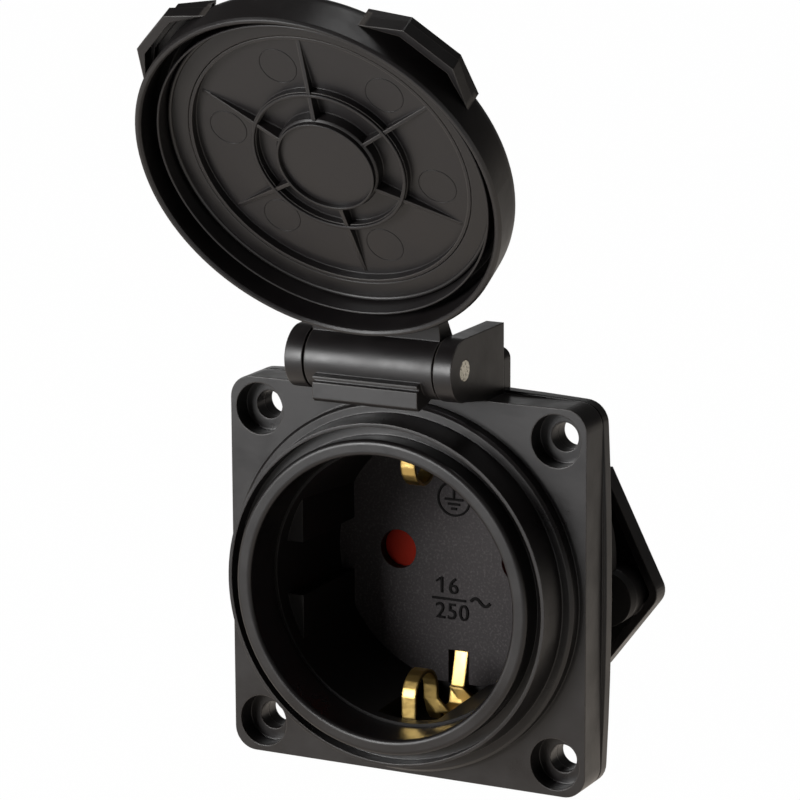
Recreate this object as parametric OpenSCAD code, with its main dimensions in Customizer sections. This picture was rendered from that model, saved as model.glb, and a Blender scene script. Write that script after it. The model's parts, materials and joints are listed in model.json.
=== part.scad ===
// Outdoor panel socket with a hinged lid.
// X points right, Y into the panel, Z up. The origin is the centre of the flange's front face.

/* [Flange] */
// Distance from the collar's foot to the flange's edge
flange_margin = 1; // [0.6:0.1:4]
// Thickness of the flange plate
flange_t = 5.1; // [4.6:0.1:6]
// Corner radius of the flange
flange_r = 3.2; // [2:0.1:4]
// Distance of the fixing holes from the flange's edges
hole_edge = 4.5; // [4.2:0.1:5]
// Diameter of the fixing holes
hole_d = 4; // [3.5:0.1:4.4]
// Diameter of the counterbores
counterbore_d = 7.3; // [7:0.1:7.6]
// Depth of the counterbores
counterbore_t = 2.9; // [2:0.1:3.4]
// Thickness of the rubber gasket behind the flange
gasket_t = 2.1; // [1.5:0.1:3]

/* [Recess] */
// Radius of the recess at its mouth
recess_r = 19.8; // [19.7:0.05:22]
// Distance of the recess floor behind the flange's front face
floor_y = 16.5; // [16:0.1:18]
// Spacing of the two pin holes
pin_pitch = 19; // [18.8:0.1:19.2]
// Diameter of the pin holes in the floor
pin_hole_d = 5.6; // [5.2:0.1:5.8]
// Diameter of the plug's pins
plug_pin_d = 4.8; // [4.5:0.1:4.9]

/* [Lid] */
// Angle at which the open lid stands, from closed
open_angle = 151; // [90:1:155]
// Height of the lid from its rim to its outer face
lid_h = 7.6; // [7.5:0.1:8.5]
// Thickness of the lid's skirt
skirt_t = 0.94; // [0.8:0.02:1.2]
// Radius of the rounded outer edge of the lid
lid_round = 3.2; // [2.8:0.1:3.6]

/* [Hinge] */
// Height of the hinge axis above the flange's edge
axis_rise = 5.5; // [5.3:0.1:6]
// Distance of the hinge axis in front of the flange
axis_out = 6.9; // [6.6:0.1:7.2]
// Diameter of the hinge pin
hinge_pin_d = 2.9; // [2.4:0.1:3.2]
// Outer distance over the two lugs
lug_span = 24.8; // [24:0.2:26]

/* [Hidden] */
$fn = 64;
over = 0.5;
running_gap = 0.05;
pin_x = pin_pitch / 2;
back_y = flange_t + gasket_t;
gasket_bow = 0.6;
gasket_groove = 0.35;

// Collar in front of the flange: rim, groove, lip and foot
rim_wall = 2.2;
groove_w = 1.5;
lip_t = 0.5;
collar_draft = 0.5;
step_w = 1.5;
rim_y = -8.2;
groove_y = -4.7;
lip_y = -6.75;
step_y = -2.1;
edge_round = 0.6;
rim_r = recess_r + rim_wall;
lip_in_r = rim_r + groove_w;
lip_out_r = lip_in_r + lip_t;
collar_r = lip_out_r + collar_draft;
step_r = collar_r + step_w;
flange_w = 2 * (step_r + flange_margin);
flange_edge = flange_w / 2;
hole_x = flange_edge - hole_edge;

// Insert in its barrel behind the flange
mouth_step = 0.4;
bowl_draft = 0.6;
bowl_wall = 1.5;
bore_gap = 2.1;
barrel_wall = 1.6;
mouth_r = recess_r - mouth_step;
floor_r = mouth_r - bowl_draft;
insert_r = mouth_r + bowl_wall;
bore_r = insert_r + bore_gap;
barrel_r = bore_r + barrel_wall;
barrel_y = 12;
seat_y = -1.2;
floor_t = 1.6;
floor_back = floor_y + floor_t;
carrier_y = floor_back + 2;
key_in = floor_r - 2.3;
key_notch = 3.8;
key_half = 10.4;
key_y = 1.1;
post_r = 1.5;
boss_screw_r = 2.6;

// Earth clips and their channels in the bowl
clip_w = 2.1;
clip_t = 0.5;
channel_x = 4.6;
slot_x = 1.6;
channel_y = 0.4;
channel_wall = 0.95;
channel_out = bore_r - 0.1;
channel_z = channel_out - channel_wall - 0.2;
clip_run_z = channel_z - clip_t / 2;
slot_z = floor_r - 5;
tail_z = slot_z + 0.4;
riser_y = floor_y + 1.2;

// Hinge lugs and the lid's barrel
axis_y = -axis_out;
axis_z = flange_edge + axis_rise;
lug_t = 2.6;
lug_r = 4.3;
lug_x = lug_span / 2 - lug_t;
knuckle_gap = 0.3;
knuckle_r = 4.2;
knuckle_x = lug_x - knuckle_gap;

// Lid, drawn closed
lid_rim_y = -3.95;
lid_face_y = lid_rim_y - lid_h;
lid_wall = 2.05;
lid_floor_y = lid_face_y + lid_wall;
lid_round_y = lid_face_y + lid_round;
skirt_gap = 0.2;
skirt_in_r = collar_r + skirt_gap;
skirt_r = skirt_in_r + skirt_t;
lid_rib_in = rim_r + 0.95;
lid_rib_out = lid_rib_in + 0.35;
lid_rib_y = groove_y - 1.25;
seal_gap = 0.1;
seal_in_r = recess_r + 0.1;
seal_out_r = lid_rib_in - seal_gap;
seal_y = rim_y - seal_gap;
seal_edge = 0.35;
seal_keep_out = seal_in_r - seal_gap;
seal_keep_in = seal_keep_out - 0.45;
disc_r = 7.2;
disc_y = lid_floor_y + 1.75;
ring_rib_in = 10.3;
ring_rib_out = 11;
ring_rib_y = lid_floor_y + 1;
spoke_t = 0.5;
spoke_end = seal_keep_in - 0.5;
spokes = 6;
ear_wall = 1.2;
ear_reach = skirt_r + 2.8;
ear_step = 0.6;
ear_front = lid_rim_y - 3.05;
ear_mid = ear_front - 1.9;
ear_y = ear_mid - 1.6;

// Shutter
shutter_gap = 0.2;
shutter_t = 1.6;
shutter_half = 3.2;
shutter_r = 13;
shutter_hub_r = 3.4;
shutter_turn = 40;
stop_r = 0.8;
stop_x = 6.5;

// Contacts and their carrier
carrier_t = 3.9;
carrier_back = carrier_y + carrier_t;
sleeve_wall = 0.7;
sleeve_in = plug_pin_d / 2;
sleeve_out = sleeve_in + sleeve_wall;
sleeve_end = carrier_back + 9.5;
sleeve_flange_r = sleeve_out + 0.8;
block_half = 2.6;
block_x = pin_x - 2.3;
block_z0 = 2.2;
block_h = 5.8;
block_y0 = carrier_back + 1;
block_y1 = carrier_back + 9;
block_mid = (block_y0 + block_y1) / 2;
wire_r = 1.5;
screw_r = 1.2;
screw_head_r = 2;
screw_head_h = 1.4;
clamp_t = 0.7;
clamp_half = 2.2;
earth_z = -12;
strap_t = 0.8;
strap_half = 2.2;
strap_z = tail_z + 0.9;
ring_t = 0.5;
ring_w = 2.2;
ring_y = carrier_y + 0.5;
left_top = [-block_x, block_mid, block_z0 + block_h];
right_top = [block_x, block_mid, block_z0 + block_h];
earth_top = [0, block_mid, earth_z + block_h];

// Rear cap and its screws
cap_wall = 1.2;
cap_in = max(tail_z + 0.2, pin_x + sleeve_flange_r + 1);
cap_out = cap_in + cap_wall;
carrier_head_r = 2.2;
screw_ring = max(insert_r - 2.8, cap_out + carrier_head_r + 0.3);
carrier_screw_xz = screw_ring / sqrt(2);
carrier_r = max(insert_r, screw_ring + boss_screw_r + 0.2);
cap_end = carrier_back + 13.5;
end_wall = 1.5;
ear_rim = carrier_back + 3;
ear_back = ear_rim + 3;
pillar_x = insert_r - 0.9;
pillar_z = -5.2;
pillar_r = 4;
pillar_y = carrier_back - 2;
ear_tip_r = 2.6;
ear_tip = [pillar_x + 3.2, pillar_z + 0.1];
ear_top = [pillar_x - 2.4, pillar_z + 17.1];
ear_low = [pillar_x - 2.4, pillar_z - 11.6];
entry_r = 5.6;
cable_r = 3.5;
grommet_lip = 1.4;
cap_screw_r = 1.2;
cap_hole_r = 1.6;

black = [0.10, 0.10, 0.11];
rubber = [0.06, 0.06, 0.06];
brass = [0.80, 0.66, 0.33];
steel = [0.66, 0.67, 0.69];

// Points of an arc about [cx, cy] from angle a0 to a1
function arc(cx, cy, r, a0, a1, n = 8) =
    [for (i = [0:n]) let (a = a0 + (a1 - a0) * i / n) [cx + r * cos(a), cy + r * sin(a)]];

// Unit normal of the segment from p to q
function normal(p, q) = let (d = q - p) [-d[1], d[0]] / norm(d);

// Corner of an open path pushed sideways by s, mitred
function pushed(path, i, s) =
    let (last = len(path) - 1)
    let (a = normal(path[max(i - 1, 0)], path[max(i, 1)]))
    let (b = normal(path[min(i, last - 1)], path[min(i + 1, last)]))
    path[i] + (a + b) * s / (1 + a * b);

// Outline of a strip of thickness t along a path
function strip(path, t) = concat(
    [for (i = [0:len(path) - 1]) pushed(path, i, t / 2)],
    [for (i = [len(path) - 1:-1:0]) pushed(path, i, -t / 2)]);

// Solid of revolution about Y from points [radius, y]
module turned(points) {
    rotate([-90, 0, 0]) rotate_extrude() polygon(points);
}

// Round bar along Y
module bar_y(r, y0, y1) {
    translate([0, y0, 0]) rotate([-90, 0, 0]) cylinder(h = y1 - y0, r = r);
}

// Round bar along X, centred
module bar_x(r, length) {
    rotate([0, 90, 0]) cylinder(h = length, r = r, center = true);
}

// Outline [y, z] extruded along X from x0 to x1
module along_x(points, x0, x1) {
    translate([x0, 0, 0]) rotate([90, 0, 90]) linear_extrude(x1 - x0) polygon(points);
}

// Outline [x, z] extruded along Y from y0 to y1
module along_y(points, y0, y1) {
    translate([0, y1, 0]) rotate([90, 0, 0]) linear_extrude(y1 - y0) polygon(points);
}

// Box between two corners
module box(lo, hi) {
    translate(lo) cube(hi - lo);
}

// Square plate with round corners, from y0 to y1
module plate(side, r, y0, y1) {
    inner = side / 2 - r;
    box([-side / 2, y0, -inner], [side / 2, y1, inner]);
    box([-inner, y0, -side / 2], [inner, y1, side / 2]);
    for (x = [-inner, inner], z = [-inner, inner]) translate([x, 0, z]) bar_y(r, y0, y1);
}

// Children at the four fixing holes
module at_holes() {
    for (x = [-hole_x, hole_x], z = [-hole_x, hole_x]) translate([x, 0, z]) children();
}

// Children on both sides, the second turned half a turn about Y
module half_turns() {
    for (a = [0, 180]) rotate([0, a, 0]) children();
}

// Children swung with the lid from closed to open
module opened() {
    translate([0, axis_y, axis_z]) rotate([-open_angle, 0, 0]) translate([0, -axis_y, -axis_z]) children();
}

// Lug of the hinge on the flange, from x0 to x1
module lug(x0, x1) {
    top = axis_z + lug_r;
    foot = flange_edge;
    along_x([[axis_y, top], [flange_t, top], [flange_t, foot - 2], [over, foot - 2], [0, foot],
        [axis_y, axis_z - lug_r]], x0, x1);
    translate([(x0 + x1) / 2, axis_y, axis_z]) bar_x(lug_r, x1 - x0);
}

// Flange, collar, hinge lugs and barrel in one moulding
module housing() {
    collar = concat(
        [[bore_r, barrel_y], [bore_r, seat_y], [recess_r, seat_y]],
        arc(recess_r + edge_round, rim_y + edge_round, edge_round, 180, 270, 5),
        arc(rim_r - edge_round, rim_y + edge_round, edge_round, 270, 360, 5),
        [[rim_r, groove_y], [lip_in_r, groove_y], [lip_in_r, lip_y], [lip_out_r, lip_y],
        [collar_r, step_y], [step_r - 0.4, step_y], [step_r, step_y + 0.4], [step_r, flange_t / 2],
        [barrel_r, flange_t / 2], [barrel_r, barrel_y]]);
    color(black) difference() {
        union() {
            difference() {
                plate(flange_w, flange_r, 0, flange_t);
                bar_y(bore_r + over, -1, flange_t + 1);
            }
            turned(collar);
            lug(lug_x, lug_x + lug_t);
            lug(-lug_x - lug_t, -lug_x);
        }
        at_holes() bar_y(hole_d / 2, -1, flange_t + 1);
        at_holes() bar_y(counterbore_d / 2, -1, counterbore_t);
        translate([0, axis_y, axis_z]) bar_x(hinge_pin_d / 2, lug_span + 2);
    }
}

// Quarter of the gasket's outline [x, z], drawn inwards by s: a corner and the bowed edge after it
function gasket_quarter(s) = let (inner = flange_edge - flange_r) concat(
    arc(inner, inner, flange_r - s, 0, 90),
    [for (i = [1:7]) let (t = 1 - i / 4) [t * inner, flange_edge - s + gasket_bow * (1 - t * t)]]);

// Quarter outline turned round to all four sides
function four_sides(points) = [for (k = [0:3], p = points)
    [p[0] * cos(90 * k) - p[1] * sin(90 * k), p[0] * sin(90 * k) + p[1] * cos(90 * k)]];

// Rubber plate behind the flange, with a tab behind the lugs
module flange_gasket() {
    tab_z = axis_z + 0.5;
    tab_r = 1.5;
    tab_x = lug_span / 2 - tab_r;
    color(rubber) difference() {
        union() {
            along_y(four_sides(gasket_quarter(gasket_groove)), flange_t, back_y);
            along_y(four_sides(gasket_quarter(0)), flange_t + gasket_groove, back_y);
            box([-tab_x, flange_t, flange_edge - 1], [tab_x, back_y, tab_z]);
            box([-tab_x - tab_r, flange_t, flange_edge - 1], [tab_x + tab_r, back_y, tab_z - tab_r]);
            for (x = [-tab_x, tab_x]) translate([x, 0, tab_z - tab_r]) bar_y(tab_r, flange_t, back_y);
        }
        bar_y(barrel_r, flange_t - 1, back_y + 1);
        at_holes() bar_y(hole_d / 2, flange_t - 1, back_y + 1);
    }
}

// Steel pin, tight in the lugs
module hinge_pin() {
    color(steel) translate([0, axis_y, axis_z]) bar_x(hinge_pin_d / 2, lug_span);
}

// Outline [x, z] of a grip ear whose corners lie at radius r: it leaves the skirt at two places
function grip_outline(r) = concat(
    [for (a = [-65, -53.2, -37.6, -25.6]) (a == -65 || a == -25.6 ? skirt_r : r) * [cos(a), sin(a)]],
    [(skirt_r - 6) * [cos(-45), sin(-45)]]);

// Hollow ear for the fingers at the lid's free end, right hand side
module grip_ear() {
    difference() {
        union() {
            along_y(grip_outline(ear_reach), ear_mid, ear_front);
            along_y(grip_outline(ear_reach - ear_step), ear_y, ear_front);
        }
        along_y(grip_outline(ear_reach - ear_wall), ear_mid, 0);
        along_y(grip_outline(ear_reach - ear_step - ear_wall), ear_y + ear_wall / 2, 0);
        bar_y(skirt_r - over, lid_face_y - 1, 0);
    }
}

// Rib under the lid's face, pointing to the hinge
module spoke() {
    top = disc_y - 0.05;
    root = lid_floor_y - over;
    along_x([[root, 0], [top, 0], [top, disc_r], [lid_floor_y + 0.05, spoke_end], [root, spoke_end]],
        -spoke_t / 2, spoke_t / 2);
}

// Cap of the lid as drawn closed
module lid_cap() {
    rc = skirt_r - lid_round;
    inner_round = skirt_in_r - rc;
    turned(concat(
        [[0, lid_face_y]],
        arc(rc, lid_round_y, lid_round, 270, 360, 10),
        [[skirt_r, lid_rim_y - 0.4], [skirt_r - 0.3, lid_rim_y], [skirt_in_r + 0.3, lid_rim_y],
        [skirt_in_r, lid_rim_y - 0.3]],
        arc(rc, lid_round_y, inner_round, 0, -45, 5),
        [[lid_rib_out, lid_floor_y], [lid_rib_out, lid_rib_y], [lid_rib_in, lid_rib_y],
        [lid_rib_in, lid_floor_y], [seal_keep_out, lid_floor_y], [seal_keep_out, seal_y],
        [seal_keep_in, seal_y], [seal_keep_in, lid_floor_y], [ring_rib_out, lid_floor_y],
        [ring_rib_out, ring_rib_y], [ring_rib_in, ring_rib_y], [ring_rib_in, lid_floor_y],
        [disc_r, lid_floor_y], [disc_r, disc_y - 0.25], [disc_r - 0.25, disc_y], [0, disc_y]]));
    for (k = [0:spokes - 1]) rotate([0, 360 / spokes * k, 0]) spoke();
    grip_ear();
    mirror([1, 0, 0]) grip_ear();
}

// Arm from the skirt to the hinge barrel, with the heel that stands level when the lid is open
module lid_arm() {
    heel_x = 7.8;
    heel_y = -5;
    heel_in = -4.4;
    root_z = skirt_r - 4.6;
    arm_y = lid_face_y + 3.4;
    difference() {
        along_x([[axis_y - knuckle_r + 0.1, axis_z], [lid_face_y + 1.2, root_z], [arm_y, root_z],
            [arm_y, axis_z - 6], [axis_y - 0.5, axis_z - 3.9], [axis_y, axis_z]],
            -knuckle_x, knuckle_x);
        bar_y((skirt_r + skirt_in_r) / 2, lid_face_y - 1, 0);
    }
    translate([0, axis_y, axis_z]) bar_x(knuckle_r, 2 * knuckle_x);
    translate([0, axis_y, axis_z]) rotate([open_angle, 0, 0]) along_x([[0, 0], [-3.7, -1.3], [heel_y, -1.6],
        [heel_y, -1.95], [heel_in, -2.05], [heel_in, -2.35], [heel_y, -2.45], [heel_y, -4.6],
        [heel_in, -5.1], [-2, -4.6], [0, -3.9]], -heel_x, heel_x);
}

// Hinged lid, standing open
module lid() {
    color(black) opened() difference() {
        union() {
            lid_cap();
            lid_arm();
        }
        translate([0, axis_y, axis_z]) bar_x(hinge_pin_d / 2 + running_gap, lug_span);
    }
}

// Rubber ring inside the lid that meets the collar's rim
module lid_seal() {
    color(rubber) opened() turned(concat([[seal_in_r, lid_floor_y], [seal_out_r, lid_floor_y]],
        arc(seal_out_r - seal_edge, seal_y - seal_edge, seal_edge, 0, 90, 4), [[seal_in_r, seal_y]]));
}

// Recess bowl with pin holes, keying ribs, clip channels and the shutter's post
module socket_insert() {
    color(black) difference() {
        union() {
            turned([[mouth_r, seat_y], [bore_r - 0.1, seat_y], [bore_r - 0.1, seat_y + 2.4],
                [insert_r, seat_y + 2.4], [insert_r, barrel_y - 1.5], [bore_r, barrel_y - 1.5],
                [bore_r, barrel_y], [barrel_r - 0.4, barrel_y], [barrel_r - 0.4, barrel_y + 1.2],
                [insert_r, barrel_y + 1.2], [insert_r, carrier_y], [mouth_r, carrier_y],
                [mouth_r, floor_back], [0, floor_back], [0, floor_y], [floor_r, floor_y]]);
            half_turns() intersection() {
                bar_y(mouth_r + over, key_y, floor_y + over);
                union() {
                    box([key_in, key_y, key_notch], [insert_r, floor_y + over, key_half]);
                    box([key_in, key_y, -key_half], [insert_r, floor_y + over, -key_notch]);
                }
            }
            bar_y(post_r, floor_y + over, carrier_y);
            half_turns() translate([carrier_screw_xz, 0, carrier_screw_xz])
                bar_y(boss_screw_r, floor_y + over, carrier_y);
            half_turns() intersection() {
                bar_y(channel_out, seat_y + over, carrier_y);
                box([-channel_x - channel_wall, seat_y + over, insert_r - bowl_wall],
                    [channel_x + channel_wall, carrier_y, channel_out]);
            }
            half_turns() translate([stop_x, 0, -shutter_half - stop_r - running_gap])
                bar_y(stop_r, floor_y + over, carrier_y);
            half_turns() rotate([0, -shutter_turn, 0])
                translate([stop_x, 0, shutter_half + stop_r + running_gap])
                bar_y(stop_r, floor_y + over, carrier_y);
        }
        half_turns() translate([pin_x, 0, 0]) bar_y(pin_hole_d / 2, floor_y - 1, floor_back + 1);
        half_turns() box([-channel_x, channel_y, floor_r - 0.9], [channel_x, floor_y, channel_z]);
        half_turns() box([-channel_x, floor_y - 1, floor_r - 0.2], [channel_x, floor_back + 0.1, channel_z]);
        half_turns() box([-slot_x, floor_y - 1, slot_z], [slot_x, floor_back + 1, floor_r]);
        half_turns() translate([carrier_screw_xz, 0, carrier_screw_xz])
            bar_y(cap_screw_r, floor_y + 0.6, carrier_y + 1);
    }
}

// Two-armed shutter turning on the insert's post
module shutter() {
    y0 = floor_back + shutter_gap;
    y1 = y0 + shutter_t;
    color([0.78, 0.10, 0.08]) difference() {
        union() {
            intersection() {
                box([-shutter_r, y0, -shutter_half], [shutter_r, y1, shutter_half]);
                bar_y(shutter_r, y0, y1);
            }
            bar_y(shutter_hub_r, y0, y1);
        }
        bar_y(post_r + running_gap, y0 - 1, y1 + 1);
    }
}

// Torsion spring behind the shutter, swept along a helix
module shutter_spring() {
    turns = 3;
    steps = 16;
    sides = 8;
    wire = 0.25;
    coil_r = 2.6;
    pitch = 0.6;
    y0 = carrier_y + 0.2;
    n = turns * steps;
    points = [for (i = [0:n], j = [0:sides - 1])
        let (a = 360 * i / steps, b = 360 * j / sides, r = coil_r + wire * cos(b))
        [r * cos(a), y0 + pitch * i / steps + wire * sin(b), r * sin(a)]];
    walls = [for (i = [0:n - 1], j = [0:sides - 1])
        let (k = (j + 1) % sides)
        [i * sides + j, i * sides + k, (i + 1) * sides + k, (i + 1) * sides + j]];
    caps = [[for (j = [sides - 1:-1:0]) j], [for (j = [0:sides - 1]) n * sides + j]];
    color(steel) polyhedron(points, concat(walls, caps));
}

// Plate that carries the contacts, on the back of the insert
module contact_carrier() {
    pocket_r = 3.4;
    pocket_t = 2.3;
    color(black) difference() {
        union() {
            bar_y(carrier_r, carrier_y, carrier_back);
            half_turns() translate([pillar_x, 0, pillar_z]) bar_y(pillar_r, pillar_y, carrier_back);
        }
        half_turns() translate([pin_x, 0, 0]) bar_y(sleeve_out, carrier_y - 1, carrier_back + 1);
        half_turns() translate([pin_x, 0, 0]) bar_y(sleeve_out + ring_t, carrier_y - 1, ring_y + ring_w);
        bar_y(pocket_r, carrier_y - 1, carrier_y + pocket_t);
        half_turns() box([-clip_w / 2, carrier_y - 1, tail_z - clip_t / 2],
            [clip_w / 2, carrier_back + 1, tail_z + clip_t / 2]);
        half_turns() translate([carrier_screw_xz, 0, carrier_screw_xz])
            bar_y(cap_hole_r, carrier_y - 1, carrier_back + 1);
        half_turns() translate([pillar_x, 0, pillar_z]) bar_y(cap_screw_r, carrier_y - 1, carrier_back + 1);
    }
}

// Slotted sleeve for one pin with its terminal block beside it, on the right
module pin_contact() {
    slot = 0.8;
    color(brass) difference() {
        union() {
            translate([pin_x, 0, 0]) bar_y(sleeve_out, carrier_y + 0.5, sleeve_end);
            translate([pin_x, 0, 0]) bar_y(sleeve_flange_r, carrier_back, carrier_back + 1);
            box([block_x - block_half, block_y0, block_z0],
                [block_x + block_half, block_y1, block_z0 + block_h]);
        }
        translate([pin_x, 0, 0]) bar_y(sleeve_in, carrier_y, sleeve_end + 1);
        box([pin_x - sleeve_flange_r, carrier_y, -slot / 2],
            [pin_x + sleeve_flange_r, carrier_back - 1, slot / 2]);
        translate([block_x, 0, block_z0 + block_h / 2 + 0.4]) bar_y(wire_r, block_y0 + 1.5, block_y1 + 1);
        translate([block_x, block_mid, block_z0 + block_h / 2]) cylinder(h = block_h, r = screw_r);
    }
}

module contact_left() {
    mirror([1, 0, 0]) pin_contact();
}

module contact_right() {
    pin_contact();
}

// Spring ring round the mouth of a sleeve, in a step of the carrier
module sleeve_ring(x) {
    color(steel) translate([x, 0, 0]) difference() {
        bar_y(sleeve_out + ring_t, ring_y, ring_y + ring_w);
        bar_y(sleeve_out, ring_y - 1, ring_y + ring_w + 1);
    }
}

module contact_clip_left() {
    sleeve_ring(-pin_x);
}

module contact_clip_right() {
    sleeve_ring(pin_x);
}

// Bent spring strip of the upper earth contact
module earth_clip() {
    foot_y = riser_y - 2.2;
    leg_y = 7.8;
    arch_z = clip_run_z - 4.7;
    arch = concat([[1, clip_run_z - 2]], arc(4.3, arch_z, 3.4, 170, 350, 10),
        [[leg_y, clip_run_z - 3.1], [8.6, clip_run_z - 1.1], [9.6, clip_run_z]]);
    path = concat(arch, [[foot_y, clip_run_z], [riser_y, tail_z], [carrier_back + strap_t + 0.4, tail_z]]);
    half = clip_w / 2;
    color(brass) {
        along_x(strip(path, clip_t), -half, half);
        along_y([[-half, clip_run_z - 3.3], [half, clip_run_z - 3.3], [half + 1.9, clip_run_z - 1.5],
            [half - 0.3, clip_run_z - 1.1]], leg_y - clip_t / 2, leg_y + clip_t / 2);
        along_y([[-half, clip_run_z - 2.6], [half, clip_run_z - 2.6], [half + 2.4, clip_run_z - 0.6],
            [half - 0.1, clip_run_z - 0.2]], foot_y, foot_y + 2 * clip_t);
    }
}

module earth_clip_top() {
    earth_clip();
}

module earth_clip_bottom() {
    mirror([0, 0, 1]) earth_clip();
}

// Strap that joins both clips, with the earth terminal's block
module earth_strap() {
    y0 = carrier_back;
    color(brass) difference() {
        union() {
            box([-strap_half, y0, -strap_z], [strap_half, y0 + strap_t, strap_z]);
            box([-block_half, y0 + strap_t / 2, earth_z], [block_half, block_y1, earth_z + block_h]);
        }
        half_turns() box([-clip_w / 2, y0 - 1, tail_z - clip_t / 2],
            [clip_w / 2, y0 + strap_t + 1, tail_z + clip_t / 2]);
        translate([0, 0, earth_z + block_h / 2 + 0.4]) bar_y(wire_r, block_y0 + 1.5, block_y1 + 1);
        translate([0, block_mid, earth_z + block_h / 2]) cylinder(h = block_h, r = screw_r);
    }
}

// Slotted cheese-head screw standing on a clamp plate
module terminal_screw(place) {
    head_z = clamp_t;
    color(steel) translate(place) difference() {
        union() {
            translate([0, 0, -2]) cylinder(h = head_z + 2 + over, r = screw_r);
            translate([0, 0, head_z]) cylinder(h = screw_head_h, r = screw_head_r);
        }
        box([-screw_head_r - 1, -0.3, head_z + 0.8], [screw_head_r + 1, 0.3, head_z + 3]);
    }
}

// Square plate under a terminal screw's head
module clamp_plate(place) {
    color(steel) translate(place) difference() {
        box([-clamp_half, -clamp_half, 0], [clamp_half, clamp_half, clamp_t]);
        translate([0, 0, -1]) cylinder(h = clamp_t + 2, r = screw_r);
    }
}

module terminal_screw_left() {
    terminal_screw(left_top);
}

module terminal_screw_right() {
    terminal_screw(right_top);
}

module terminal_screw_earth() {
    terminal_screw(earth_top);
}

module clamp_plate_left() {
    clamp_plate(left_top);
}

module clamp_plate_right() {
    clamp_plate(right_top);
}

module clamp_plate_earth() {
    clamp_plate(earth_top);
}

// Pan-head screw along Y with its head behind head_y
module screw_y(tip_y, head_y, head_r) {
    difference() {
        turned([[0, tip_y], [cap_screw_r, tip_y], [cap_screw_r, head_y], [head_r, head_y],
            [head_r, head_y + 1], [head_r - 0.6, head_y + 1.6], [0, head_y + 1.6]]);
        box([-0.3, head_y + 0.8, -head_r - 1], [0.3, head_y + 3, head_r + 1]);
    }
}

// Screws that hold the carrier to the insert
module carrier_screws() {
    color(steel) half_turns() translate([carrier_screw_xz, 0, carrier_screw_xz])
        screw_y(floor_y + 0.8, carrier_back, carrier_head_r);
}

// Screws that hold the rear cap to the carrier
module cap_screws() {
    color(steel) half_turns() translate([pillar_x, 0, pillar_z]) screw_y(pillar_y + 0.3, ear_back, 2.8);
}

// Outline [x, z] of one ear of the rear cap, drawn inwards by s
function ear_outline(s) = concat(
    [[8, ear_top[1] - s], [ear_top[0] - s / 2, ear_top[1] - s]],
    arc(ear_tip[0], ear_tip[1], ear_tip_r - s, 26.7, -37.2, 6),
    [[ear_low[0] - s / 2, ear_low[1] + s], [8, ear_low[1] + s + 3]]);

// Terminal cap behind the panel with two hollow ears
module rear_cap() {
    color(black) difference() {
        union() {
            turned([[cap_in, carrier_back], [cap_out, carrier_back], [cap_out, cap_end - 1.5],
                [cap_out - 1.5, cap_end], [0, cap_end], [0, cap_end - end_wall],
                [cap_in, cap_end - end_wall]]);
            half_turns() difference() {
                along_y(ear_outline(0), ear_rim, ear_back);
                along_y(ear_outline(cap_wall), ear_rim - 1, ear_back - cap_wall);
                bar_y(cap_out - over, ear_rim - 1, ear_back + 1);
            }
            half_turns() translate([pillar_x, 0, pillar_z]) difference() {
                bar_y(pillar_r, carrier_back, ear_back);
                translate([-pillar_x, 0, -pillar_z]) bar_y(cap_out - over, carrier_back - 1, ear_back + 1);
            }
        }
        bar_y(entry_r, cap_end - 3, cap_end + 1);
        half_turns() box([-strap_half - 0.3, carrier_back - 1, 0],
            [strap_half + 0.3, carrier_back + strap_t + 0.6, cap_out + 1]);
        half_turns() translate([pillar_x, 0, pillar_z]) bar_y(cap_hole_r, carrier_back - 1, ear_back + 1);
    }
}

// Rubber cable entry in the cap's end wall
module cable_grommet() {
    lip_r = entry_r + grommet_lip;
    inside = cap_end - end_wall;
    color(rubber) turned([[cable_r, inside - 1.2], [lip_r, inside - 1.2], [lip_r, inside], [entry_r, inside],
        [entry_r, cap_end], [lip_r, cap_end], [lip_r - 0.6, cap_end + 2], [cable_r + 0.6, cap_end + 2],
        [cable_r, cap_end + 1.4]]);
}

housing();
flange_gasket();
hinge_pin();
lid();
lid_seal();
socket_insert();
shutter();
shutter_spring();
contact_carrier();
contact_left();
contact_right();
contact_clip_left();
contact_clip_right();
earth_clip_top();
earth_clip_bottom();
earth_strap();
terminal_screw_left();
terminal_screw_right();
terminal_screw_earth();
clamp_plate_left();
clamp_plate_right();
clamp_plate_earth();
carrier_screws();
rear_cap();
cap_screws();
cable_grommet();
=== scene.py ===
"""Dresses an outdoor panel socket with a hinged lid: finishes, moulded marks, studio light and camera.

Every object is in metres in the frame of the solids: X right, Y into the panel, Z up, with the origin at the
centre of the flange's front face. Sizes are written in millimetres and turned to metres by one factor.
"""

import json
import logging
import math
from dataclasses import dataclass, replace
from enum import Enum
from typing import Any, Iterable

import bmesh
import bpy
from mathutils import Matrix, Vector

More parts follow.
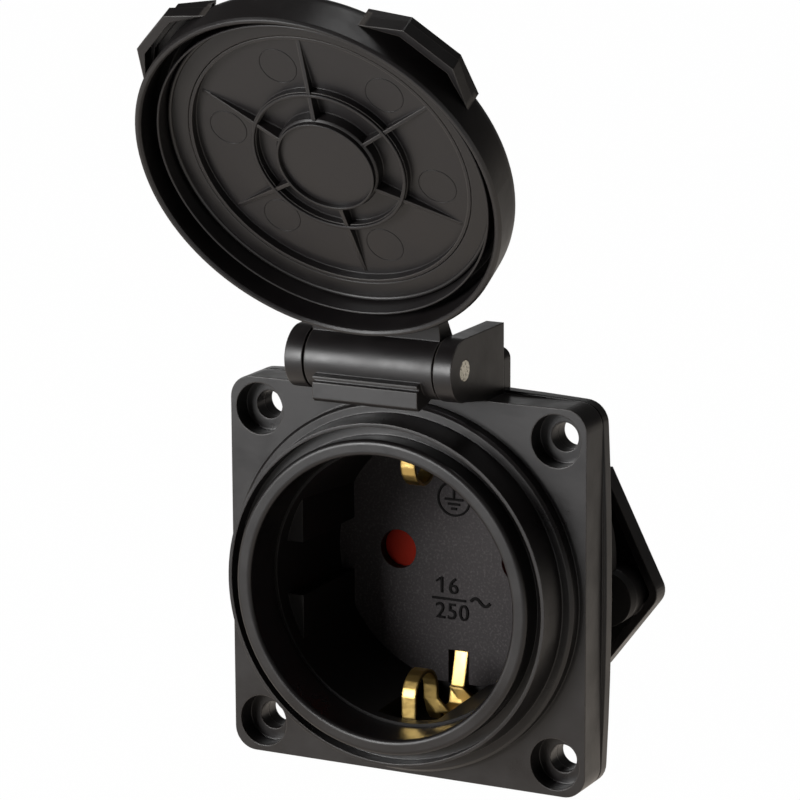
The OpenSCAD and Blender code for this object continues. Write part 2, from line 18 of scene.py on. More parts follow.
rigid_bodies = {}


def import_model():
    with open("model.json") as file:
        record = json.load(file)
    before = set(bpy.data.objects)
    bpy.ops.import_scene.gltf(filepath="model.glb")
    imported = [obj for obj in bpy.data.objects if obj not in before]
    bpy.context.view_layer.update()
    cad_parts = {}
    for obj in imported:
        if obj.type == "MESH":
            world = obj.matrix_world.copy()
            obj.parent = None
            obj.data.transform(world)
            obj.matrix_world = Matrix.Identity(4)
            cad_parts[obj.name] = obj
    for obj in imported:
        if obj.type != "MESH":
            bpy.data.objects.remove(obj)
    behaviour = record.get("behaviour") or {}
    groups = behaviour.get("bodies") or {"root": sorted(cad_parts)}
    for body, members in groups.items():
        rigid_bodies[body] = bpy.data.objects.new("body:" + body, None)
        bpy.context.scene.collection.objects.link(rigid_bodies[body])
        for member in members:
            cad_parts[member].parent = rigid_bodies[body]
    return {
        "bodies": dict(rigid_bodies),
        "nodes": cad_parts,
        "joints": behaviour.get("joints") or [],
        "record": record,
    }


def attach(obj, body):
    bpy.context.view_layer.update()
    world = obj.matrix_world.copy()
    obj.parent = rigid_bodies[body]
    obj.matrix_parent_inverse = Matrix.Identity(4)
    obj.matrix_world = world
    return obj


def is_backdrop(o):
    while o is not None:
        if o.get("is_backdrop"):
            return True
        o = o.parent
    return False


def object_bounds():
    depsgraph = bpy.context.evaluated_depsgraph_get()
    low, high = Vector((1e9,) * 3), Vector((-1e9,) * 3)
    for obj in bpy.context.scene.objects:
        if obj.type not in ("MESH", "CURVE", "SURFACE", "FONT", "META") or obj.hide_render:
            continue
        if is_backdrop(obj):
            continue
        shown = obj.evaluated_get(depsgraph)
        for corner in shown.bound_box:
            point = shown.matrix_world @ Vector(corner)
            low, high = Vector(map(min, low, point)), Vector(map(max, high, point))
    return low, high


LOG = logging.getLogger("panel_socket")
MM = 0.001
SMOOTH_ANGLE = math.radians(32)
# Depth of the recess floor behind the flange's front face, and how far off a face still counts as floor.
RECESS_FLOOR_MM = 16.5
FLOOR_LAYER_MM = 0.1
# Size of the clouds in the colour and gloss of every finish.
CLOUD_MM = 9.0
# Scale of a drawn metal's grain, which is long in X, along the hinge pin.
DRAWN_SCALE = (0.12, 1.0, 1.0)
# Noise values between which the gloss runs through its range and the tips of the grain appear.
GLOSS_NOISE = (0.3, 0.7)
TIP_NOISE = (0.5, 0.72)
# Inner occlusion at which an edge starts to get its painted highlight, and at which it is wholly painted
# paler.
EDGE_HIGHLIGHT_OCCLUSION = (0.85, 0.45)
# Rays for rounded edges and for the painted edge highlight.
EDGE_SAMPLES = 6
WHITE = "#FFFFFF"
ROOM_TONE = "#FFFBF7"
PAPER = "#F2F2F2"
WARM_WHITE = "#FFF3E6"


def linear(hex_colour: str) -> tuple[float, float, float, float]:
    """Turns an sRGB hex colour to the linear colour that a shader takes.

    Args:
        hex_colour: Colour such as "#1B1B1D".

    Returns:
        Linear red, green, blue and an alpha of 1.
    """
    def channel(start: int) -> float:
        """Reads one channel and removes the sRGB curve."""
        value = int(hex_colour[start:start + 2], 16) / 255
        return value / 12.92 if value <= 0.04045 else ((value + 0.055) / 1.055) ** 2.4

    return (channel(1), channel(3), channel(5), 1.0)


def per_mm(size_mm: float) -> float:
    """Gives the texture scale at which one feature measures size_mm on the object."""
    return 1.0 / (size_mm * MM)


def put(tree: bpy.types.NodeTree, kind: str, inputs: dict[str | int, Any] | None = None,
        **settings: Any) -> bpy.types.Node:
    """Adds one node with its settings, values and links.

    Args:
        tree: Node tree that gets the node.
        kind: Blender's node type.
        inputs: Value or output socket for each input, by its name or its number.
        settings: Attributes of the node itself.

    Returns:
        The new node.
    """
    node = tree.nodes.new(kind)
    for name, value in settings.items():
        setattr(node, name, value)
    for key, value in (inputs or {}).items():
        if isinstance(value, bpy.types.NodeSocket):
            tree.links.new(value, node.inputs[key])
        else:
            node.inputs[key].default_value = value
    return node


def empty_tree(owner: bpy.types.Material | bpy.types.World) -> bpy.types.NodeTree:
    """Turns on the nodes of a material or a world and clears them.

    Args:
        owner: The material or world.

    Returns:
        Its empty node tree.
    """
    owner.use_nodes = True
    owner.node_tree.nodes.clear()
    return owner.node_tree


class Surface(Enum):
    """How a piece's surface was made."""

    MOULDED = "moulded"
    SPARKED = "sparked"
    RUBBER = "rubber"
    DRAWN = "drawn"
    PRESSED = "pressed"


@dataclass(frozen=True)
class Finish:
    """One finish, from its colour to the size of its grain.

    Attributes:
        name: Material's name.
        slot: Slot of the record that the finish belongs to.
        surface: How the surface was made.
        colour: Main sRGB colour.
        second: Colour that clouds it.
        roughness: Middle roughness.
        spread: Half the range of the roughness.
        grain_mm: Size of the surface's grain.
        depth_mm: Height of the grain.
        edge_mm: Radius to which sharp edges look rounded.
        metallic: 1 for bare metal.
        sheen: Share of the usual mirror reflection.
        speck: Colour of the grain's tips, if they differ.
        floor_mm: Depth of the only face that has the grain, if the rest is polished.
        polish: Colour of the polished rest.
        edge_highlight: Colour of the painted highlight along convex edges, if there is one.
        edge_highlight_mm: Width of that painted edge highlight.
    """

    name: str
    slot: str
    surface: Surface
    colour: str
    second: str
    roughness: float
    spread: float
    grain_mm: float
    depth_mm: float
    edge_mm: float
    metallic: float = 0.0
    sheen: float = 0.5
    speck: str | None = None
    floor_mm: float | None = None
    polish: str = "#000000"
    edge_highlight: str | None = None
    edge_highlight_mm: float = 0.2

    def build(self) -> bpy.types.Material:
        """Makes the material.

        Returns:
            The finished material.
        """
        material = bpy.data.materials.new(self.name)
        tree = empty_tree(material)
        place = put(tree, "ShaderNodeTexCoord").outputs["Object"]
        scale = DRAWN_SCALE if self.surface is Surface.DRAWN else (1.0, 1.0, 1.0)
        drawn = put(tree, "ShaderNodeMapping", {"Vector": place, "Scale": scale}).outputs["Vector"]
        clouds = put(tree, "ShaderNodeTexNoise", {
            "Vector": place, "Scale": per_mm(CLOUD_MM), "Detail": 4.0, "Roughness": 0.6}).outputs["Fac"]
        grain = put(tree, "ShaderNodeTexNoise", {
            "Vector": drawn, "Scale": per_mm(self.grain_mm), "Detail": 3.0,
            "Roughness": 0.55}).outputs["Fac"]
        rough = put(tree, "ShaderNodeMapRange", {
            "Value": clouds, "From Min": GLOSS_NOISE[0], "From Max": GLOSS_NOISE[1],
            "To Min": self.roughness - self.spread, "To Max": self.roughness + self.spread}).outputs["Result"]
        colour = put(tree, "ShaderNodeMix", {
            "Factor": clouds, 6: linear(self.colour), 7: linear(self.second)}, data_type="RGBA").outputs[2]
        strength: Any = 1.0
        if self.speck:
            tips = put(tree, "ShaderNodeMapRange", {
                "Value": grain, "From Min": TIP_NOISE[0], "From Max": TIP_NOISE[1]}).outputs["Result"]
            colour = put(tree, "ShaderNodeMix", {"Factor": tips, 6: colour, 7: linear(self.speck)},
                         data_type="RGBA").outputs[2]
        if self.floor_mm is not None:
            depth = put(tree, "ShaderNodeSeparateXYZ", {"Vector": place}).outputs["Y"]
            strength = put(tree, "ShaderNodeMath", {0: depth, 1: self.floor_mm * MM, 2: FLOOR_LAYER_MM * MM},
                           operation="COMPARE").outputs[0]
            colour = put(tree, "ShaderNodeMix", {"Factor": strength, 6: linear(self.polish), 7: colour},
                         data_type="RGBA").outputs[2]
        # Painted highlight: convex edges, found by occlusion from inside the solid, are mixed towards a paler
        # colour, whatever the lamps do.
        if self.edge_highlight:
            inner = put(tree, "ShaderNodeAmbientOcclusion", {"Distance": self.edge_highlight_mm * MM}, inside=True,
                        only_local=True, samples=EDGE_SAMPLES).outputs["AO"]
            painted_edge_highlight = put(tree, "ShaderNodeMapRange", {
                "Value": inner, "From Min": EDGE_HIGHLIGHT_OCCLUSION[0],
                "From Max": EDGE_HIGHLIGHT_OCCLUSION[1]}).outputs["Result"]
            colour = put(tree, "ShaderNodeMix", {"Factor": painted_edge_highlight, 6: colour, 7: linear(self.edge_highlight)},
                         data_type="RGBA").outputs[2]
        rounded = put(tree, "ShaderNodeBevel", {"Radius": self.edge_mm * MM},
                      samples=EDGE_SAMPLES).outputs["Normal"]
        relief = put(tree, "ShaderNodeBump", {
            "Strength": strength, "Distance": self.depth_mm * MM, "Height": grain,
            "Normal": rounded}).outputs["Normal"]
        shader = put(tree, "ShaderNodeBsdfPrincipled", {
            "Base Color": colour, "Metallic": self.metallic, "Roughness": rough,
            "Specular IOR Level": self.sheen, "Normal": relief}).outputs["BSDF"]
        put(tree, "ShaderNodeOutputMaterial", {"Surface": shader})
        return material


# Glass-filled polyamide from a polished mould: near black and satin, with a paler painted highlight along its
# edges.
BLACK_PLASTIC = Finish("moulded_polyamide", "black_plastic", Surface.MOULDED, "#131112", "#1D1A1A", 0.35, 0.1,
                       0.8, 0.012, 0.25, sheen=0.42, edge_highlight="#46423F")
# The lid's mould is a little duller.
LID_PLASTIC = replace(BLACK_PLASTIC, name="lid_polyamide", roughness=0.4, sheen=0.46)
# Raised lines of the lid's mould, which get no painted edge highlight.
LINE_PLASTIC = replace(LID_PLASTIC, name="moulded_lines", edge_highlight=None)
# The same plastic from a mould with polished walls and a spark-eroded floor, coarse enough to show.
INSERT_PLASTIC = Finish("spark_grained_polyamide", "insert_plastic", Surface.SPARKED, "#242021", "#2D292A",
                        0.62, 0.06, 0.35, 0.022, 0.2, sheen=0.3, speck="#403B3C", floor_mm=RECESS_FLOOR_MM,
                        polish="#121010")
# Strokes of the same mould, drawn dull and darker than the floor: their dark colour is painted shade that
# stands in for the dark room that polished faces mirror.
MARK_PLASTIC = Finish("marks_painted_dark", "insert_plastic", Surface.MOULDED, "#0B0A0A", "#100E0E", 0.5, 0.04,
                      0.5, 0.002, 0.08, sheen=0.06)
# Moulded rubber: dull and soft edged.
BLACK_RUBBER = Finish("moulded_rubber", "black_rubber", Surface.RUBBER, "#141313", "#1C1919", 0.36, 0.06,
                      0.4, 0.006, 0.35, sheen=0.45)
# Red thermoplastic polyester of the shutter: smooth, deep in its holes.
RED_PLASTIC = Finish("red_polyester", "red_plastic", Surface.MOULDED, "#8C1703", "#9C2006", 0.42, 0.05,
                     0.6, 0.003, 0.2, sheen=0.1)
# Pressed brass strip: bright, softly wavy and round edged.
BRASS = Finish("pressed_brass", "brass", Surface.PRESSED, "#CDB475", "#AE8D4C", 0.38, 0.08,
               1.6, 0.09, 0.45, metallic=1.0)
# Zinc-plated steel: pale grey and softly brushed, with dark pits.
STEEL = Finish("plated_steel", "steel", Surface.DRAWN, "#EDEADD", "#D3CFBF", 0.3, 0.08,
               0.45, 0.02, 0.12, metallic=1.0, speck="#4A463E")
FINISHES = (BLACK_PLASTIC, INSERT_PLASTIC, BLACK_RUBBER, RED_PLASTIC, BRASS, STEEL)


def new_piece(name: str, shape: bmesh.types.BMesh, body: str, finish: bpy.types.Material) -> None:
    """Makes an object from a finished bmesh and lets it ride on a body.

    Args:
        name: Name of the piece.
        shape: Its mesh, in place. It is freed.
        body: Body that it moves with.
        finish: Its material.
    """
    for face in shape.faces:
        face.smooth = True
    for edge in shape.edges:
        edge.smooth = edge.calc_face_angle(math.pi) < SMOOTH_ANGLE
    mesh = bpy.data.meshes.new(name)
    shape.to_mesh(mesh)
    shape.free()
    mesh.materials.append(finish)
    piece = bpy.data.objects.new(name, mesh)
    bpy.context.scene.collection.objects.link(piece)
    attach(piece, body)


class Dresser:
    """Gives each solid the finish of its slot."""

    def __init__(self, frame: dict[str, Any]) -> None:
        """Builds the finishes and reads the slot of each node.

        Args:
            frame: The loaded frame.
        """
        self.nodes = frame["nodes"]
        self.slots = {part["node"]: part["material_slot"] for part in frame["record"]["subparts"]}
        self.materials = {finish.slot: finish.build() for finish in FINISHES}
        self.own = {"lid": LID_PLASTIC.build()}

    def dress(self, node: str) -> None:
        """Gives one node its finish.

        Args:
            node: Name of the node.
        """
        mesh = self.nodes[node].data
        mesh.materials.clear()
        mesh.materials.append(self.own.get(node) or self.materials[self.slots[node]])

    def dress_all(self) -> None:
        """Dresses every node and reports each."""
        for node in sorted(self.nodes):
            self.dress(node)
            LOG.info("dressed %s", node)


def spun_ring(radius_mm: float, width_mm: float, height_mm: float, steps: int = 48) -> bmesh.types.BMesh:
    """Makes a low flat ring about Z that stands on the plane Z = 0.

    Args:
        radius_mm: Middle radius of the ring.
        width_mm: Radial width.
        height_mm: Height above the plane. The ring also reaches as far below it, into its carrier.
        steps: Steps round the circle.

    Returns:
        The ring as a closed mesh.
    """
    crest_share = 0.6
    shape = bmesh.new()
    half = width_mm / 2
    crest = half * crest_share
    corners = ((radius_mm - half, -height_mm), (radius_mm + half, -height_mm),
               (radius_mm + crest, height_mm), (radius_mm - crest, height_mm))
    points = [shape.verts.new((r * MM, 0, z * MM)) for r, z in corners]
    outline = [shape.edges.new((points[i - 1], points[i])) for i in range(len(points))]
    bmesh.ops.spin(shape, geom=points + outline, cent=(0, 0, 0), axis=(0, 0, 1), angle=2 * math.pi,
                   steps=steps, use_merge=True)
    bmesh.ops.recalc_face_normals(shape, faces=shape.faces)
    return shape


def bead_ring(radius_mm: float, bead_mm: float) -> bmesh.types.BMesh:
    """Makes a round bead about Z, with its middle on the plane Z = 0.

    Args:
        radius_mm: Middle radius of the ring.
        bead_mm: Radius of the bead.

    Returns:
        The bead as a closed mesh.
    """
    sides = 12
    steps = 120
    shape = bmesh.new()
    upright = Matrix.Rotation(math.pi / 2, 4, "X")
    place = Matrix.Translation(Vector((radius_mm, 0, 0)) * MM) @ upright
    bmesh.ops.create_circle(shape, segments=sides, radius=bead_mm * MM, matrix=place)
    bmesh.ops.spin(shape, geom=shape.verts[:] + shape.edges[:], cent=(0, 0, 0), axis=(0, 0, 1),
                   angle=2 * math.pi, steps=steps, use_merge=True)
    bmesh.ops.recalc_face_normals(shape, faces=shape.faces)
    return shape


def bar_shape(length_mm: float, width_mm: float, height_mm: float) -> bmesh.types.BMesh:
    """Makes a low bar along X on the plane Z = 0, with a draught on its sides.

    Args:
        length_mm: Length along X.
        width_mm: Width along Y.
        height_mm: Height above the plane. The bar also reaches as far below it.

    Returns:
        The bar as a closed mesh.
    """
    draught_mm = 0.1
    crest_share = 0.7
    shape = bmesh.new()
    bmesh.ops.create_cube(shape, size=1)
    bmesh.ops.scale(shape, verts=shape.verts, vec=(length_mm * MM, width_mm * MM, 2 * height_mm * MM))
    top = [v for v in shape.verts if v.co.z > 0]
    bmesh.ops.scale(shape, verts=top, vec=(1 - draught_mm / length_mm, crest_share, 1))
    return shape


def number_shape(words: str, size_mm: float, height_mm: float) -> bmesh.types.BMesh:
    """Makes raised figures on the plane Z = 0, centred.

    Args:
        words: The figures.
        size_mm: Height of a figure.
        height_mm: Height above the plane. They also reach as far below it.

    Returns:
        The figures as a closed mesh.
    """
    figure_share = 0.72
    bolder = 0.004
    spacing = 1.1
    weld_mm = 0.002
    curve = bpy.data.curves.new("figures", "FONT")
    curve.body = words
    curve.align_x = "CENTER"
    curve.align_y = "CENTER"
    curve.size = size_mm * MM / figure_share
    curve.extrude = height_mm * MM
    curve.offset = size_mm * MM * bolder
    curve.space_character = spacing
    curve.resolution_u = 4
    holder = bpy.data.objects.new("figures", curve)
    mesh = bpy.data.meshes.new_from_object(holder)
    shape = bmesh.new()
    shape.from_mesh(mesh)
    bpy.data.objects.remove(holder)
    bpy.data.meshes.remove(mesh)
    bpy.data.curves.remove(curve)
    bmesh.ops.remove_doubles(shape, verts=shape.verts, dist=weld_mm * MM)
    bmesh.ops.recalc_face_normals(shape, faces=shape.faces)
    return shape


def wave_shape(length_mm: float, rise_mm: float, width_mm: float, height_mm: float) -> bmesh.types.BMesh:
    """Makes one period of a wave along X on the plane Z = 0.

    Args:
        length_mm: Length along X.
        rise_mm: Height of its crest along Y.
        width_mm: Width of the stroke.
        height_mm: Height above the plane. The stroke also reaches as far below it.

    Returns:
        The wave as a closed mesh.
    """
    steps = 20
    shape = bmesh.new()
    rings = []
    for step in range(steps + 1):
        angle = 2 * math.pi * step / steps
        middle = Vector((length_mm * (step / steps - 0.5), rise_mm * math.sin(angle), 0))
        along = Vector((length_mm, 2 * math.pi * rise_mm * math.cos(angle), 0)).normalized()
        side = Vector((-along.y, along.x, 0)) * width_mm / 2
        up = Vector((0, 0, height_mm))
        corners = (middle + side - up, middle - side - up, middle - side + up, middle + side + up)
        rings.append([shape.verts.new(corner * MM) for corner in corners])
    for first, second in zip(rings, rings[1:]):
        for k in range(len(first)):
            shape.faces.new((first[k - 1], first[k], second[k], second[k - 1]))
    shape.faces.new(rings[0])
    shape.faces.new(rings[-1])
    bmesh.ops.recalc_face_normals(shape, faces=shape.faces)
    return shape


def joined(shapes: Iterable[bmesh.types.BMesh]) -> bmesh.types.BMesh:
    """Puts several meshes in one and frees them.

    Args:
        shapes: Meshes in place.

    Returns:
        One mesh.
    """
    whole = bmesh.new()
    for shape in shapes:
        mesh = bpy.data.meshes.new("part_of_whole")
        shape.to_mesh(mesh)
        shape.free()
        whole.from_mesh(mesh)
        bpy.data.meshes.remove(mesh)
    return whole


def placed(shape: bmesh.types.BMesh, place: Matrix) -> bmesh.types.BMesh:
    """Moves a mesh to its place and gives it back.

    Args:
        shape: The mesh.
        place: Matrix that moves it.

    Returns:
        The same mesh.
    """
    bmesh.ops.transform(shape, matrix=place, verts=shape.verts)
    return shape


@dataclass
class FloorMarks:
    """Raised rating figures and earth sign on the recess floor.

    Attributes:
        floor_mm: Distance of the floor behind the flange's front face.
        height_mm: Height of the marks.
        stroke_mm: Width of a stroke.
        figure_mm: Height of a figure.
        line_gap: Strokes from the middle of the bar to a figure.
        rating_mm: Place (x, z) of the bar between the two lines of figures.
        bar_mm: Length of that bar.
        shifts_mm: Shift to the right of the upper and the lower figures.
        wave_mm: Length and rise of the wave.
        wave_at_mm: Place (x, z) of the wave from the bar.
        flag_mm: Length of the flag of the one, which the font makes as a plain bar.
        flag_share: Share of a stroke that the flag is wide.
        flag_at_mm: Place of the flag: x from the bar's middle, z from the middle of the upper figures.
        flag_turn: Rise of the flag, in degrees.
        earth_mm: Place (x, z) of the earth sign.
        earth_r_mm: Radius of its circle.
        earth_bars: Half length and height of each of its bars, as shares of that radius.
        earth_stem: Length and height of its stem, as such shares.
    """

    floor_mm: float = RECESS_FLOOR_MM
    height_mm: float = 0.18
    stroke_mm: float = 0.42
    figure_mm: float = 2.4
    line_gap: float = 1.6
    rating_mm: tuple[float, float] = (-1.5, -6.4)
    bar_mm: float = 5.4
    shifts_mm: tuple[float, float] = (-0.2, 0.5)
    wave_mm: tuple[float, float] = (3.0, 0.5)
    wave_at_mm: tuple[float, float] = (4.9, 0.1)
    flag_mm: float = 0.85
    flag_share: float = 0.8
    flag_at_mm: tuple[float, float] = (-1.68, 0.85)
    flag_turn: float = 40.0
    earth_mm: tuple[float, float] = (-0.7, 8.3)
    earth_r_mm: float = 2.45
    earth_bars: tuple[tuple[float, float], ...] = ((0.6, -0.05), (0.4, -0.33), (0.2, -0.6))
    earth_stem: tuple[float, float] = (0.9, 0.4)

    def on_floor(self, x: float, z: float, turn: float = 0.0) -> Matrix:
        """Gives the place of a mark that faces the front.

        Args:
            x: Place to the right, in mm.
            z: Place upwards, in mm.
            turn: Turn in the floor's plane, in degrees.

        Returns:
            Matrix from the plane Z = 0 to the floor.
        """
        facing = Matrix.Rotation(math.radians(90), 4, "X")
        spin = Matrix.Rotation(math.radians(turn), 4, "Z")
        return Matrix.Translation(Vector((x, self.floor_mm, z)) * MM) @ facing @ spin

    def rating(self) -> bmesh.types.BMesh:
        """Makes the current over the voltage, with the sign of alternating current.

        Returns:
            The figures, the bar and the wave as one mesh.
        """
        x, z = self.rating_mm
        step = self.figure_mm / 2 + self.stroke_mm * self.line_gap
        upper, lower = self.shifts_mm
        flag_x, flag_z = self.flag_at_mm
        wave_x, wave_z = self.wave_at_mm
        return joined([
            placed(number_shape("16", self.figure_mm, self.height_mm), self.on_floor(x + upper, z + step)),
            placed(bar_shape(self.bar_mm, self.stroke_mm, self.height_mm), self.on_floor(x, z)),
            placed(number_shape("250", self.figure_mm, self.height_mm), self.on_floor(x + lower, z - step)),
            placed(wave_shape(*self.wave_mm, self.stroke_mm, self.height_mm),
                   self.on_floor(x + wave_x, z + wave_z)),
            placed(bar_shape(self.flag_mm, self.stroke_mm * self.flag_share, self.height_mm),
                   self.on_floor(x + flag_x, z + step + flag_z, self.flag_turn))])

    def earth_sign(self) -> bmesh.types.BMesh:
        """Makes the earth sign in its circle.

        Returns:
            The sign as one mesh.
        """
        x, z = self.earth_mm
        r = self.earth_r_mm
        length, rise = self.earth_stem
        circle = placed(spun_ring(r, self.stroke_mm, self.height_mm), self.on_floor(x, z))
        stem = placed(bar_shape(length * r, self.stroke_mm, self.height_mm),
                      self.on_floor(x, z + rise * r, 90))
        bars = [placed(bar_shape(2 * half * r, self.stroke_mm, self.height_mm),
                       self.on_floor(x, z + height * r))
                for half, height in self.earth_bars]
        return joined([circle, stem, *bars])

    def build(self, finish: bpy.types.Material) -> None:
        """Puts both marks on the floor.

        Args:
            finish: Finish of the marks, with their painted dark colour.
        """
        new_piece("rating_figures", self.rating(), "socket", finish)
        new_piece("earth_sign", self.earth_sign(), "socket", finish)
        LOG.info("marked the recess floor")


@dataclass
class LidMarks:
    """Fine forms inside the lid: rims, ejector marks, the seal's lip and the sealing rib's crest.

    Attributes:
        floor_mm: Y of the lid's inner face, as closed.
        circle_mm: Radius on which the ejector marks lie.
        radius_mm: Radius of one mark.
        line_mm: Width of its line.
        height_mm: Height of its line.
        lead: Turn of the first mark from the top of the closed lid, in degrees.
        count: Number of marks.
        rims_mm: Middle radius, width, height and Y of each round rib's rim.
        rim_steps: Steps round a rim.
        lip_mm: Middle radius, bead radius and Y of the seal's outer lip.
        crest_mm: The same of the sealing rib's round crest.
    """

    floor_mm: float = -9.5
    circle_mm: float = 14.7
    radius_mm: float = 2.6
    line_mm: float = 0.16
    height_mm: float = 0.05
    lead: float = 16.0
    count: int = 6
    rims_mm: tuple[tuple[float, float, float, float], ...] = (
        (6.7, 0.5, 0.6, -7.75), (10.65, 0.66, 0.35, -8.5))
    rim_steps: int = 96
    lip_mm: tuple[float, float, float] = (22.5, 0.34, -8.35)
    crest_mm: tuple[float, float, float] = (23.12, 0.19, -5.98)

    def build(self, opening: Matrix, finish: bpy.types.Material, rubber: bpy.types.Material) -> None:
        """Puts the fine forms on the open lid.

        Args:
            opening: Swing from closed to the open rest pose.
            finish: Finish of the lines.
            rubber: Finish of the seal.
        """
        facing = Matrix.Rotation(math.radians(-90), 4, "X")

        def on_lid(y: float, out: float = 0.0, turn: float = 0.0) -> Matrix:
            """Gives the place of a form at depth y, out from the lid's middle and turned about it."""
            place = Matrix.Translation(Vector((0, y, out)) * MM)
            return opening @ Matrix.Rotation(math.radians(turn), 4, "Y") @ place @ facing

        marks = [placed(spun_ring(self.radius_mm, self.line_mm, self.height_mm),
                        on_lid(self.floor_mm, self.circle_mm, 360 / self.count * step + self.lead))
                 for step in range(self.count)]
        rims = [placed(spun_ring(radius, width, height, self.rim_steps), on_lid(y))
                for radius, width, height, y in self.rims_mm]
        lip, crest = [placed(bead_ring(radius, bead), on_lid(y))
                      for radius, bead, y in (self.lip_mm, self.crest_mm)]
        new_piece("seal_lip", lip, "lid", rubber)
        new_piece("rib_crest", crest, "lid", finish)
        new_piece("ejector_marks", joined(marks), "lid", finish)
        new_piece("lid_rims", joined(rims), "lid", finish)
        LOG.info("marked the lid")


def swing(frame: dict[str, Any], joint: str) -> Matrix:
    """Gives the turn of a hinge from its far limit to rest.

    Args:
        frame: The loaded frame.
        joint: Name of the hinge.

    Returns:
        Matrix that carries a piece drawn at the far limit to rest.
    """
    facts = next(j for j in frame["joints"] if j["name"] == joint)
    pivot = Matrix.Translation(Vector(facts["pos_m"]))
    turn = Matrix.Rotation(-math.radians(facts["range_deg"][1]), 4, Vector(facts["axis"]))
    return pivot @ turn @ pivot.inverted()


@dataclass
class PhotoCamera:
    """Camera at the photograph's viewing angle, found from the flange's corners and the collar's circles.

    Attributes:
        azimuth: Degrees to the right of the socket's axis.
        elevation: Degrees above it.
        roll: Degrees of turn about the line of sight.
        sensor_mm: Width of the sensor.
        lens: Focal length.
        distance_mm: Distance from the origin along the line of sight.
        right_mm: Distance of the origin to the right of the picture's centre.
        up_mm: Distance of the origin above the picture's centre.
        near_mm: Distance from which the camera sees.
    """

    azimuth: float = 26.97
    elevation: float = 12.79
    roll: float = -0.28
    sensor_mm: float = 36.0
    lens: float = 172.64
    distance_mm: float = 524.94
    right_mm: float = 0.78
    up_mm: float = -25.28
    near_mm: float = 50.0

    def build(self) -> None:
        """Makes the camera and hands it to the scene."""
        a, e = math.radians(self.azimuth), math.radians(self.elevation)
        back = Vector((math.sin(a) * math.cos(e), -math.cos(a) * math.cos(e), math.sin(e)))
        turn = Matrix.Rotation(math.radians(self.roll), 3, back)
        right = turn @ Vector((0, 0, 1)).cross(back).normalized()
        up = back.cross(right)
        eye = (back * self.distance_mm - right * self.right_mm - up * self.up_mm) * MM
        data = bpy.data.cameras.new("photo_camera")
        data.sensor_width = self.sensor_mm
        data.lens = self.lens
        data.clip_start = self.near_mm * MM
        camera = bpy.data.objects.new("photo_camera", data)
        axes = Matrix((right, up, back)).transposed().to_4x4()
        camera.matrix_world = Matrix.Translation(eye) @ axes
        bpy.context.scene.collection.objects.link(camera)
        bpy.context.scene.camera = camera


@dataclass(frozen=True)
class Softbox:
    """One square soft box.

    Attributes:
        name: Name of the lamp.
        place_mm: Where it hangs.
        size_mm: Its side.
        watts: Its power.
    """

    name: str
    place_mm: tuple[float, float, float]
    size_mm: float
    watts: float

    def hang(self, aim_mm: tuple[float, float, float]) -> None:
        """Makes the lamp.

        Args:
            aim_mm: Point that it faces.
        """
        data = bpy.data.lights.new(self.name, "AREA")
        data.size = self.size_mm * MM
        data.energy = self.watts
        lamp = bpy.data.objects.new(self.name, data)
        place = Vector(self.place_mm) * MM
        away = place - Vector(aim_mm) * MM
        lamp.matrix_world = Matrix.Translation(place) @ away.to_track_quat("Z", "Y").to_matrix().to_4x4()
        bpy.context.scene.collection.objects.link(lamp)


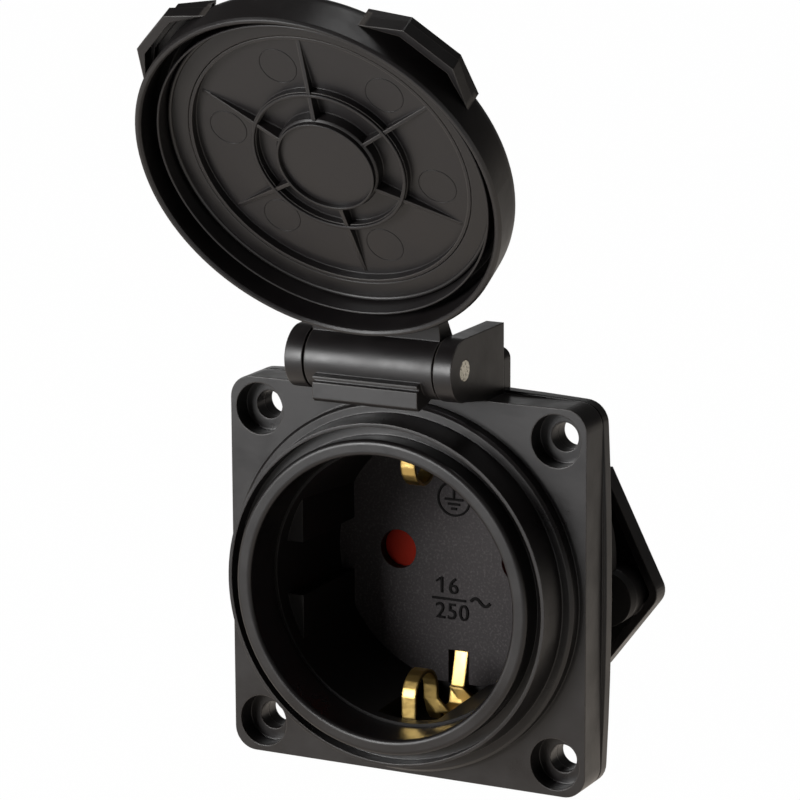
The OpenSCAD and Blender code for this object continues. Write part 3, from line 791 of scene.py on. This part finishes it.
@dataclass
class Studio:
    """White floor and backdrop with two soft boxes.

    Attributes:
        floor_drop_mm: Gap between the lowest edge and the floor.
        floor_half_mm: Half the side of the floor.
        room: Strength of the dim room round the backdrop.
        backdrop: Direction from the socket to the middle of the white backdrop.
        reach: Cosine of the angle from there to the backdrop's edge.
        soft_edge: Difference of cosines over which that edge fades.
        seen_share: Share of plain white in the floor as the camera sees it. The rest holds the shadow.
        mirror_share: The same as the object mirrors it, in front of the panel.
        far_share: The same from fall_mm behind the panel on.
        fall_mm: Depth behind the panel at which far_share is reached.
        warm_mm: Depths between which the mirrored floor turns from white to warm.
        aim_mm: Point that the soft boxes face.
        boxes: The soft boxes.
    """

    floor_drop_mm: float = 0.2
    floor_half_mm: float = 3000.0
    room: float = 0.06
    backdrop: tuple[float, float, float] = (-0.44, 0.87, -0.22)
    reach: float = 0.96
    soft_edge: float = 0.1
    seen_share: float = 0.994
    mirror_share: float = 0.85
    far_share: float = 0.3
    fall_mm: float = 180.0
    warm_mm: tuple[float, float] = (-120.0, -50.0)
    aim_mm: tuple[float, float, float] = (0, 0, 20)
    boxes: tuple[Softbox, ...] = (Softbox("key_box", (-325, -590, 130), 270, 4.5),
                                  Softbox("top_box", (60, 200, 700), 240, 0.7))

    def build_world(self) -> None:
        """Makes a dim room with a white backdrop that cameras, metal and glass see."""
        world = bpy.data.worlds.new("white_studio")
        tree = empty_tree(world)
        path = put(tree, "ShaderNodeLightPath").outputs
        direction = put(tree, "ShaderNodeTexCoord").outputs["Generated"]
        facing = put(tree, "ShaderNodeVectorMath", {0: direction, 1: self.backdrop},
                     operation="DOT_PRODUCT").outputs["Value"]
        panel = put(tree, "ShaderNodeMapRange", {
            "Value": facing, "From Min": self.reach - self.soft_edge,
            "From Max": self.reach}).outputs["Result"]
        mirrored = put(tree, "ShaderNodeMath", {0: path["Is Glossy Ray"], 1: path["Is Transmission Ray"]},
                       operation="ADD").outputs[0]
        seen = put(tree, "ShaderNodeMath", {0: mirrored, 1: panel, 2: path["Is Camera Ray"]},
                   operation="MULTIPLY_ADD", use_clamp=True).outputs[0]
        dim = put(tree, "ShaderNodeBackground",
                  {"Color": linear(ROOM_TONE), "Strength": self.room}).outputs[0]
        white = put(tree, "ShaderNodeBackground", {"Color": linear(WHITE), "Strength": 1.0}).outputs[0]
        mix = put(tree, "ShaderNodeMixShader", {"Fac": seen, 1: dim, 2: white}).outputs[0]
        put(tree, "ShaderNodeOutputWorld", {"Surface": mix})
        bpy.context.scene.world = world

    def build_floor(self, low: Vector) -> None:
        """Lays the pale floor under the socket.

        Args:
            low: Lowest corner of the object.
        """
        shape = bmesh.new()
        bmesh.ops.create_grid(shape, x_segments=1, y_segments=1, size=self.floor_half_mm * MM)
        bmesh.ops.translate(shape, verts=shape.verts, vec=(0, 0, low.z - self.floor_drop_mm * MM))
        mesh = bpy.data.meshes.new("studio_floor")
        shape.to_mesh(mesh)
        shape.free()
        # Matt paper for light and shadow, plain white to the eye and to what mirrors it.
        material = bpy.data.materials.new("pale_paper")
        tree = empty_tree(material)
        path = put(tree, "ShaderNodeLightPath").outputs
        mirrored = put(tree, "ShaderNodeMath", {0: path["Is Glossy Ray"], 1: path["Is Transmission Ray"]},
                       operation="ADD").outputs[0]
        place = put(tree, "ShaderNodeTexCoord").outputs["Object"]
        depth = put(tree, "ShaderNodeSeparateXYZ", {"Vector": place}).outputs["Y"]
        fall = put(tree, "ShaderNodeMapRange", {
            "Value": depth, "From Min": 0.0, "From Max": self.fall_mm * MM, "To Min": self.mirror_share,
            "To Max": self.far_share}).outputs["Result"]
        glow = put(tree, "ShaderNodeMath", {0: mirrored, 1: fall}, operation="MULTIPLY").outputs[0]
        share = put(tree, "ShaderNodeMath", {0: path["Is Camera Ray"], 1: self.seen_share, 2: glow},
                    operation="MULTIPLY_ADD", use_clamp=True).outputs[0]
        paper = put(tree, "ShaderNodeBsdfDiffuse", {"Color": linear(PAPER)}).outputs[0]
        near = put(tree, "ShaderNodeMapRange", {
            "Value": depth, "From Min": self.warm_mm[0] * MM,
            "From Max": self.warm_mm[1] * MM}).outputs["Result"]
        warm = put(tree, "ShaderNodeMath", {0: near, 1: mirrored}, operation="MULTIPLY").outputs[0]
        tone = put(tree, "ShaderNodeMix", {"Factor": warm, 6: linear(WHITE), 7: linear(WARM_WHITE)},
                   data_type="RGBA").outputs[2]
        white = put(tree, "ShaderNodeEmission", {"Color": tone, "Strength": 1.0}).outputs[0]
        mix = put(tree, "ShaderNodeMixShader", {"Fac": share, 1: paper, 2: white}).outputs[0]
        put(tree, "ShaderNodeOutputMaterial", {"Surface": mix})
        mesh.materials.append(material)
        floor = bpy.data.objects.new("studio_floor", mesh)
        bpy.context.scene.collection.objects.link(floor)
        floor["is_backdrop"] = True

    def build(self, low: Vector) -> None:
        """Builds the world, the floor and the lamps.

        Args:
            low: Lowest corner of the object.
        """
        self.build_world()
        self.build_floor(low)
        for box in self.boxes:
            box.hang(self.aim_mm)


def main() -> None:
    """Builds the scene in order."""
    logging.basicConfig(level=logging.INFO, format="%(message)s")
    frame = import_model()
    cad_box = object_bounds()
    bpy.context.scene.view_settings.view_transform = "Standard"
    PhotoCamera().build()
    Studio().build(cad_box[0])
    dresser = Dresser(frame)
    dresser.dress_all()
    FloorMarks().build(MARK_PLASTIC.build())
    LidMarks().build(swing(frame, "lid_hinge"), LINE_PLASTIC.build(), dresser.materials[BLACK_RUBBER.slot])


if __name__ == "__main__":
    main()
